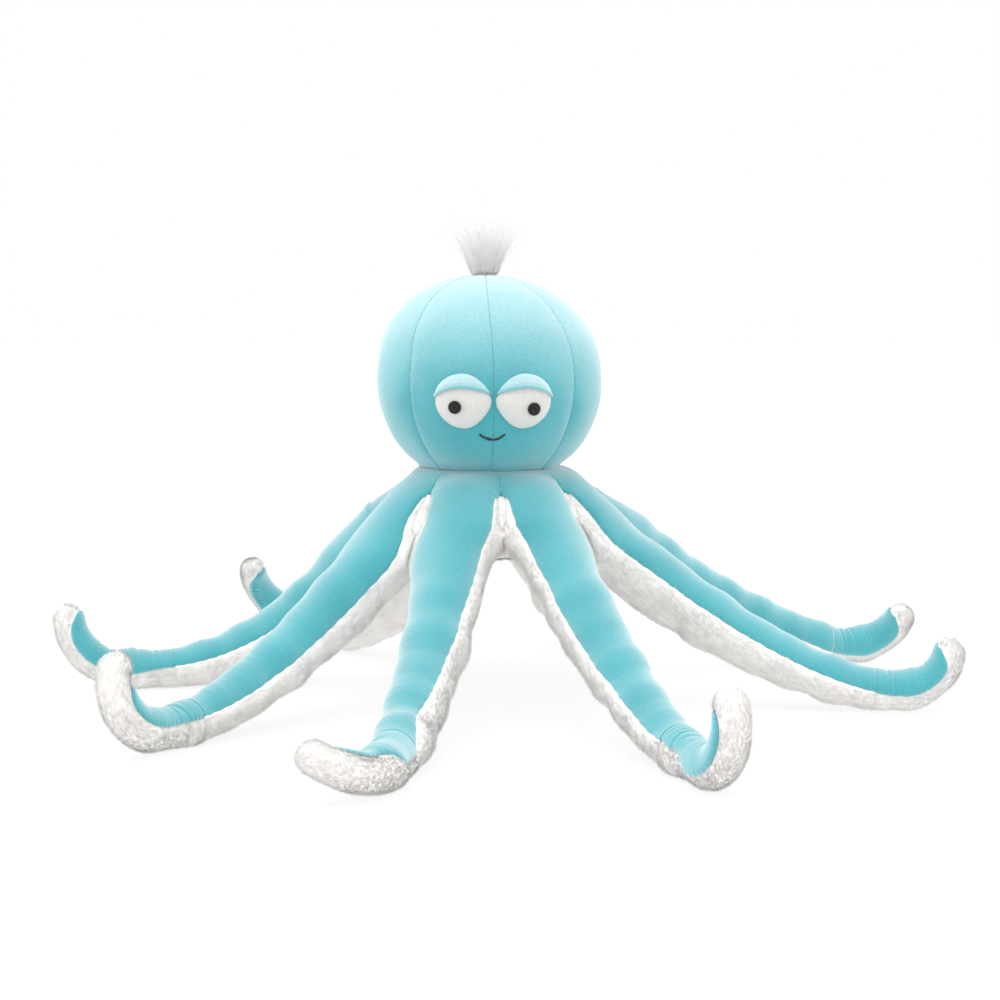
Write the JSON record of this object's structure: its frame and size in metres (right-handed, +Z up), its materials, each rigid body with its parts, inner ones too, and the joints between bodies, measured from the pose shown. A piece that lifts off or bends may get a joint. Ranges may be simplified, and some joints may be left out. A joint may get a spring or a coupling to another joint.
{
  "type": "plush octopus",
  "caption": "Stuffed octopus soft toy with a round gored head, felt eyes and long curled tentacles that carry it.",
  "frame": {"origin": "on the floor under the middle of the whole toy", "axes": "+Z up, the face looks towards -Y, +X is the toy's left-hand side as it faces the viewer, which is the viewer's right"},
  "size_m": [0.6772, 0.6238, 0.3523],
  "materials": {
    "velour": "short aqua velour",
    "pile": "warm white short faux fur",
    "felt": "white felt",
    "filling": "white polyester filling",
    "hair": "fine white fibre",
    "black_plastic": "polished black",
    "black_thread": "embroidery thread"
  },
  "bodies": {
    "body": {"body_stuffing": "filling", "body_cover": "velour", "base_panel": "pile"},
    "head": {"head_stuffing": "filling", "gore_front_right": "velour", "gore_right_front": "velour", "gore_right_back": "velour", "gore_back_right": "velour", "gore_back_left": "velour", "gore_left_back": "velour", "gore_left_front": "velour", "gore_front_left": "velour", "eye_pad_left": "felt", "eyelid_left": "velour", "safety_eye_left": "black_plastic", "eye_pad_right": "felt", "eyelid_right": "velour", "safety_eye_right": "black_plastic", "mouth_thread": "black_thread", "hair_tuft": "hair"},
    "arm_front_left": {"front_left_arm_stuffing": "filling", "front_left_arm_top": "velour", "front_left_arm_under": "pile"},
    "tip_front_left": {"front_left_tip_under": "pile", "front_left_tip_top": "velour"},
    "arm_front_right": {"front_right_arm_stuffing": "filling", "front_right_arm_top": "velour", "front_right_arm_under": "pile"},
    "tip_front_right": {"front_right_tip_under": "pile", "front_right_tip_top": "velour"},
    "arm_right_front": {"right_front_arm_stuffing": "filling", "right_front_arm_top": "velour", "right_front_arm_under": "pile"},
    "tip_right_front": {"right_front_tip_under": "pile", "right_front_tip_top": "velour"},
    "arm_right_back": {"right_back_arm_stuffing": "filling", "right_back_arm_top": "velour", "right_back_arm_under": "pile"},
    "tip_right_back": {"right_back_tip_under": "pile", "right_back_tip_top": "velour"},
    "arm_back_right": {"back_right_arm_stuffing": "filling", "back_right_arm_top": "velour", "back_right_arm_under": "pile"},
    "tip_back_right": {"back_right_tip_under": "pile", "back_right_tip_top": "velour"},
    "arm_back_left": {"back_left_arm_stuffing": "filling", "back_left_arm_top": "velour", "back_left_arm_under": "pile"},
    "tip_back_left": {"back_left_tip_under": "pile", "back_left_tip_top": "velour"},
    "arm_left_back": {"left_back_arm_stuffing": "filling", "left_back_arm_top": "velour", "left_back_arm_under": "pile"},
    "tip_left_back": {"left_back_tip_under": "pile", "left_back_tip_top": "velour"},
    "arm_left_front": {"left_front_arm_stuffing": "filling", "left_front_arm_top": "velour", "left_front_arm_under": "pile"},
    "tip_left_front": {"left_front_tip_under": "pile", "left_front_tip_top": "velour"}
  },
  "joints": [
    {"name": "neck_nod", "type": "hinge", "parent": "body", "child": "head", "pos_m": [-0.00838, 0.00743, 0.173], "axis": [1, 0, 0], "range_deg": [-10, 10], "stiffness_Nm_per_rad": 1.5},
    {"name": "front_left_lift", "type": "hinge", "parent": "body", "child": "arm_front_left", "pos_m": [-0.02495, -0.05232, 0.138], "axis": [-0.9636, 0.2672, 0], "range_deg": [-20, 45]},
    {"name": "front_left_curl", "type": "hinge", "parent": "arm_front_left", "child": "tip_front_left", "pos_m": [-0.06927, -0.24621, 0.01373], "axis": [-0.4469, 0.0798, -0.891], "range_deg": [-25, 25], "stiffness_Nm_per_rad": 0.4},
    {"name": "front_right_lift", "type": "hinge", "parent": "body", "child": "arm_front_right", "pos_m": [0.02215, -0.04653, 0.138], "axis": [-0.8704, -0.4924, 0], "range_deg": [-20, 45]},
    {"name": "front_right_curl", "type": "hinge", "parent": "arm_front_right", "child": "tip_front_right", "pos_m": [0.11321, -0.23968, 0.01373], "axis": [-0.9317, -0.3526, 0.0872], "range_deg": [-25, 25], "stiffness_Nm_per_rad": 0.4},
    {"name": "right_front_lift", "type": "hinge", "parent": "body", "child": "arm_right_front", "pos_m": [0.05137, -0.00914, 0.138], "axis": [-0.2672, -0.9636, 0], "range_deg": [-20, 45]},
    {"name": "right_front_curl", "type": "hinge", "parent": "arm_right_front", "child": "tip_right_front", "pos_m": [0.28114, -0.05253, 0.01373], "axis": [-0.0946, -0.9771, -0.1908], "range_deg": [-25, 25], "stiffness_Nm_per_rad": 0.4},
    {"name": "right_back_lift", "type": "hinge", "parent": "body", "child": "arm_right_back", "pos_m": [0.04558, 0.03796, 0.138], "axis": [0.4924, -0.8704, 0], "range_deg": [-20, 45]},
    {"name": "right_back_curl", "type": "hinge", "parent": "arm_right_back", "child": "tip_right_back", "pos_m": [0.28303, 0.12222, 0.01373], "axis": [0.1263, -0.8094, -0.5736], "range_deg": [-25, 25], "stiffness_Nm_per_rad": 0.4},
    {"name": "back_right_lift", "type": "hinge", "parent": "body", "child": "arm_back_right", "pos_m": [0.00819, 0.06717, 0.138], "axis": [0.9636, -0.2672, 0], "range_deg": [-20, 45]},
    {"name": "back_right_curl", "type": "hinge", "parent": "arm_back_right", "child": "tip_back_right", "pos_m": [0.07996, 0.2569, 0.01373], "axis": [0.735, -0.3616, 0.5736], "range_deg": [-25, 25], "stiffness_Nm_per_rad": 0.4},
    {"name": "back_left_lift", "type": "hinge", "parent": "body", "child": "arm_back_left", "pos_m": [-0.03891, 0.06139, 0.138], "axis": [0.8704, 0.4924, 0], "range_deg": [-20, 45]},
    {"name": "back_left_curl", "type": "hinge", "parent": "arm_back_left", "child": "tip_back_left", "pos_m": [-0.15219, 0.19484, 0.01373], "axis": [0.4937, 0.6142, 0.6157], "range_deg": [-25, 25], "stiffness_Nm_per_rad": 0.4},
    {"name": "left_back_lift", "type": "hinge", "parent": "body", "child": "arm_left_back", "pos_m": [-0.06812, 0.024, 0.138], "axis": [0.2672, 0.9636, 0], "range_deg": [-20, 45]},
    {"name": "left_back_curl", "type": "hinge", "parent": "arm_left_back", "child": "tip_left_back", "pos_m": [-0.26157, 0.02469, 0.01373], "axis": [-0.2585, 0.9559, -0.1392], "range_deg": [-25, 25], "stiffness_Nm_per_rad": 0.4},
    {"name": "left_front_lift", "type": "hinge", "parent": "body", "child": "arm_left_front", "pos_m": [-0.06234, -0.0231, 0.138], "axis": [-0.4924, 0.8704, 0], "range_deg": [-20, 45]},
    {"name": "left_front_curl", "type": "hinge", "parent": "arm_left_front", "child": "tip_left_front", "pos_m": [-0.21287, -0.16356, 0.01373], "axis": [-0.8086, 0.5284, -0.2588], "range_deg": [-25, 25], "stiffness_Nm_per_rad": 0.4}
  ]
}
